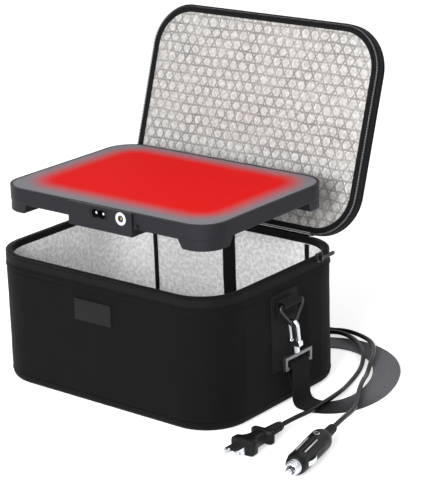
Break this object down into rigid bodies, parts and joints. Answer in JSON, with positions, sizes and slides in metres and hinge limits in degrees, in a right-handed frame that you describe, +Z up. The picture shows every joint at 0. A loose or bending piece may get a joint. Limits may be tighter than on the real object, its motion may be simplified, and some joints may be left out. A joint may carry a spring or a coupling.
{
  "type": "insulated lunch bag with heating plate",
  "caption": "Soft insulated lunch bag with a hinged zipped lid, foil lining and shoulder strap, its electric heating plate raised above it, and mains and car leads beside it.",
  "frame": {"origin": "middle of the underside of the bag, where it rests", "axes": "+Z up; +X along the front to the right; +Y from the front to the hinge at the back"},
  "size_m": [0.4608, 0.3988, 0.3277],
  "materials": {
    "oxford": "matt woven",
    "webbing": "ribbed weave",
    "binding": "matt woven",
    "zip": "matt",
    "foil": "embossed, bright",
    "foam": "closed cell",
    "board": "matt",
    "label": "smooth",
    "steel": "bright plated",
    "dark_metal": "satin",
    "housing": "fine texture",
    "hot_plate": "satin coated",
    "film": "film",
    "insulation": "fibre",
    "control": "satin",
    "brass": "bright",
    "cord": "smooth",
    "plug": "satin",
    "pads": "matt",
    "glass": "clear"
  },
  "bodies": {
    "bag": {"base_fabric": "oxford", "base_board": "board", "base_foam": "foam", "side_fabric": "oxford", "wall_foam": "foam", "foil_liner": "foil", "rim_binding": "binding", "bag_zip": "zip", "hinge_fabric": "oxford", "back_straps": "webbing", "label_patch": "label", "side_patches": "webbing", "ring_loop_right": "webbing", "ring_loop_left": "webbing", "triangle_ring_right": "steel", "triangle_ring_left": "steel", "snap_hook_right": "steel", "snap_hook_left": "steel", "strap_loop_right": "dark_metal", "strap_loop_left": "dark_metal", "shoulder_strap": "webbing", "ac_plug_body": "plug", "ac_plug_blades": "steel", "ac_cord": "cord", "ac_cord_coil": "cord", "ac_connector": "plug", "car_plug_body": "plug", "car_plug_nose": "plug", "car_side_contacts": "steel", "car_fuse": "glass", "car_cord": "cord", "car_cord_coil": "cord", "dc_connector": "plug"},
    "lid": {"lid_fabric": "oxford", "lid_foam": "foam", "lid_liner": "foil", "lid_rim": "binding", "lid_zip": "zip", "lid_hinge_fabric": "oxford"},
    "plate": {"plate_housing": "housing", "plate_top": "hot_plate", "heater_film": "film", "insulation_pad": "insulation", "thermostat": "control", "thermal_fuse": "control", "bottom_cover": "housing", "cover_screws": "control", "foot_pads": "pads", "mains_inlet": "plug", "inlet_pins": "brass", "dc_jack": "steel", "dc_jack_pin": "brass", "inner_wires": "cord"},
    "slider_right": {"zip_slider_right": "dark_metal"},
    "slider_left": {"zip_slider_left": "dark_metal"},
    "pull_right": {"zip_pull_right": "dark_metal"},
    "pull_left": {"zip_pull_left": "dark_metal"},
    "gate_right": {"hook_gate_right": "steel"},
    "gate_left": {"hook_gate_left": "steel"},
    "car_tip": {"car_plug_tip": "steel"}
  },
  "joints": [
    {"name": "lid_hinge", "type": "hinge", "parent": "bag", "child": "lid", "pos_m": [0, 0.104, 0.13], "axis": [-1, 0, 0], "range_deg": [-108, 0]},
    {"name": "plate_lift", "type": "slide", "parent": "bag", "child": "plate", "axis": [0, 0, 1], "range_m": [-0.159, 0]},
    {"name": "zip_slide_right", "type": "slide", "parent": "bag", "child": "slider_right", "axis": [0, 1, 0], "range_m": [-0.109, 0]},
    {"name": "zip_pull_right", "type": "hinge", "parent": "slider_right", "child": "pull_right", "pos_m": [0.1449, 0.0545, 0.13015], "axis": [0, 0, -1], "range_deg": [0, 165]},
    {"name": "hook_gate_right", "type": "hinge", "parent": "bag", "child": "gate_right", "pos_m": [0.144, 0.00551, 0.06175], "axis": [0, 0.9903, 0.1392], "range_deg": [0, 17], "stiffness_Nm_per_rad": 0.03, "springref_deg": -11.46},
    {"name": "zip_slide_left", "type": "slide", "parent": "bag", "child": "slider_left", "axis": [0, 1, 0], "range_m": [-0.109, 0]},
    {"name": "zip_pull_left", "type": "hinge", "parent": "slider_left", "child": "pull_left", "pos_m": [-0.1449, 0.0545, 0.13015], "axis": [0, 0, 1], "range_deg": [0, 165]},
    {"name": "hook_gate_left", "type": "hinge", "parent": "bag", "child": "gate_left", "pos_m": [-0.144, 0.00551, 0.06175], "axis": [0, -0.9903, -0.1392], "range_deg": [0, 17], "stiffness_Nm_per_rad": 0.03, "springref_deg": -11.46},
    {"name": "car_tip_press", "type": "slide", "parent": "bag", "child": "car_tip", "axis": [-0.2284, 0.9736, 0], "range_m": [0, 0.004], "stiffness_N_per_m": 400, "springref_m": -0.002}
  ],
  "couplings": [
    {"joint": "plate_lift", "follows": "lid_hinge", "m_per_rad": 0.08434}
  ]
}
